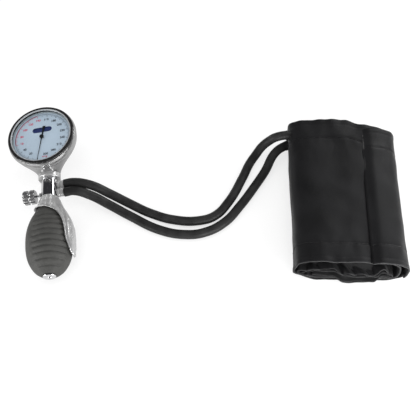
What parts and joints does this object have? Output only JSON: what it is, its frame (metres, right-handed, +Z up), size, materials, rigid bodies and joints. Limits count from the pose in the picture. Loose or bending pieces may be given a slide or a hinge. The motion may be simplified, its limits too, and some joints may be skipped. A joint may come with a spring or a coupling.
{
  "type": "aneroid blood pressure monitor",
  "caption": "Palm-type aneroid blood pressure monitor: dial gauge on a valve post with squeeze bulb, hoses to a rolled upper arm cuff.",
  "frame": {"origin": "middle of the rolled cuff's flat underside, on the table", "axes": "+Z up from the table, +Y along the pump from the bulb to the gauge, +X from the pump towards the cuff"},
  "size_m": [0.3856, 0.2089, 0.054],
  "materials": {
    "satin_metal": "satin grey, fine blast",
    "bright_metal": "polished chrome plate",
    "black_ring": "gloss black enamel",
    "window": "clear",
    "dial_white": "matt pale blue-grey print ground",
    "hand_black": "satin black",
    "movement_brass": "brushed",
    "spring_bronze": "phosphor bronze",
    "seal_rubber": "matt",
    "bulb_rubber": "matt warm grey",
    "hose_rubber": "matt black",
    "cuff_nylon": "fine woven nylon with a soft sheen",
    "lining_cloth": "matt woven",
    "bladder_rubber": "matt",
    "fastener_tape": "hook and loop tape"
  },
  "bodies": {
    "pump": {"swivel_screw": "bright_metal", "valve_body": "bright_metal", "hose_barb_gauge": "bright_metal", "hose_barb_bulb": "bright_metal", "gland_nut": "bright_metal", "needle_o_ring": "seal_rubber", "outlet_valve_body": "bright_metal", "spoon_guard": "bright_metal", "inlet_valve_body": "bright_metal", "inlet_retainer": "bright_metal", "hose_gauge": "hose_rubber", "hose_bulb": "hose_rubber"},
    "gauge_head": {"gauge_case": "satin_metal", "bezel_ring": "black_ring", "crystal": "window", "crystal_gasket": "seal_rubber", "dial_plate": "dial_white", "dial_foot_left": "movement_brass", "dial_foot_right": "movement_brass", "hairspring": "spring_bronze", "movement_plate_lower": "movement_brass", "movement_plate_upper": "movement_brass", "movement_pillar_1": "movement_brass", "movement_pillar_2": "movement_brass", "movement_pillar_3": "movement_brass", "movement_pillar_4": "movement_brass", "capsule": "spring_bronze", "gauge_stem": "movement_brass", "stem_o_ring": "seal_rubber", "swivel_collar": "satin_metal"},
    "sector": {"sector_gear": "movement_brass", "sector_arbor": "movement_brass"},
    "hand": {"pointer": "hand_black", "pointer_hub": "hand_black", "pinion_arbor": "movement_brass"},
    "rocker": {"rocking_shaft": "spring_bronze"},
    "pusher": {"capsule_pusher": "movement_brass"},
    "needle": {"needle_valve": "bright_metal"},
    "knob": {"valve_knob": "satin_metal"},
    "outlet_check": {"outlet_ball": "seal_rubber"},
    "inlet_check": {"inlet_ball": "seal_rubber"},
    "bulb_wall": {"bulb": "bulb_rubber"},
    "cuff": {"cuff_outer_cloth": "cuff_nylon", "cuff_lining": "lining_cloth", "cuff_bladder": "bladder_rubber", "bladder_nipple_upper": "bladder_rubber", "bladder_nipple_lower": "bladder_rubber", "grommet_upper": "seal_rubber", "grommet_lower": "seal_rubber", "loop_patch": "fastener_tape"},
    "flap": {"closing_flap": "cuff_nylon", "hook_patch": "fastener_tape"}
  },
  "joints": [
    {"name": "gauge_swivel", "type": "hinge", "parent": "pump", "child": "gauge_head", "pos_m": [-0.2841, 0.0573, 0.023], "axis": [0, 1, 0], "range_deg": [-90, 90]},
    {"name": "sector_swing", "type": "hinge", "parent": "gauge_head", "child": "sector", "pos_m": [-0.28526, 0.1132, 0.03182], "axis": [-0.1305, 0, 0.9914], "range_deg": [0, 40]},
    {"name": "hand_turn", "type": "hinge", "parent": "gauge_head", "child": "hand", "pos_m": [-0.28526, 0.0903, 0.03182], "axis": [-0.1305, 0, 0.9914], "range_deg": [-340, 0]},
    {"name": "rocker_turn", "type": "hinge", "parent": "gauge_head", "child": "rocker", "pos_m": [-0.28123, 0.1003, 0.03568], "axis": [0, 1, 0], "range_deg": [0, 16]},
    {"name": "pusher_lift", "type": "slide", "parent": "gauge_head", "child": "pusher", "axis": [-0.1305, 0, 0.9914], "range_m": [0, 0.0012]},
    {"name": "needle_travel", "type": "slide", "parent": "pump", "child": "needle", "axis": [-0.9914, 0, -0.1305], "range_m": [0, 0.0012]},
    {"name": "knob_turn", "type": "hinge", "parent": "needle", "child": "knob", "pos_m": [-0.30195, 0.0371, 0.02065], "axis": [-0.9914, 0, -0.1305], "range_deg": [0, 721]},
    {"name": "outlet_lift", "type": "slide", "parent": "pump", "child": "outlet_check", "axis": [0, 1, 0], "range_m": [0, 0.0018]},
    {"name": "inlet_lift", "type": "slide", "parent": "pump", "child": "inlet_check", "axis": [0, 1, 0], "range_m": [0, 0.0018]},
    {"name": "bulb_squeeze", "type": "slide", "parent": "pump", "child": "bulb_wall", "axis": [0.9914, 0, 0.1305], "range_m": [0, 0.006], "stiffness_N_per_m": 400, "deforming": ["bulb"]},
    {"name": "hose_flex", "type": "hinge", "parent": "pump", "child": "cuff", "pos_m": [-0.15, -0.004, 0.005], "axis": [0, 0, 1], "range_deg": [-20, 20], "stiffness_Nm_per_rad": 0.05, "deforming": ["hose_gauge", "hose_bulb"]},
    {"name": "flap_open", "type": "hinge", "parent": "cuff", "child": "flap", "pos_m": [0.05242, -0.01141, 0.0125], "axis": [0.1392, 0.9903, 0], "range_deg": [0, 110]}
  ],
  "couplings": [
    {"joint": "hand_turn", "follows": "sector_swing", "ratio": -8.5},
    {"joint": "rocker_turn", "follows": "sector_swing", "ratio": 0.38},
    {"joint": "pusher_lift", "follows": "sector_swing", "m_per_rad": 0.001576},
    {"joint": "knob_turn", "follows": "needle_travel", "rad_per_m": 10472}
  ]
}
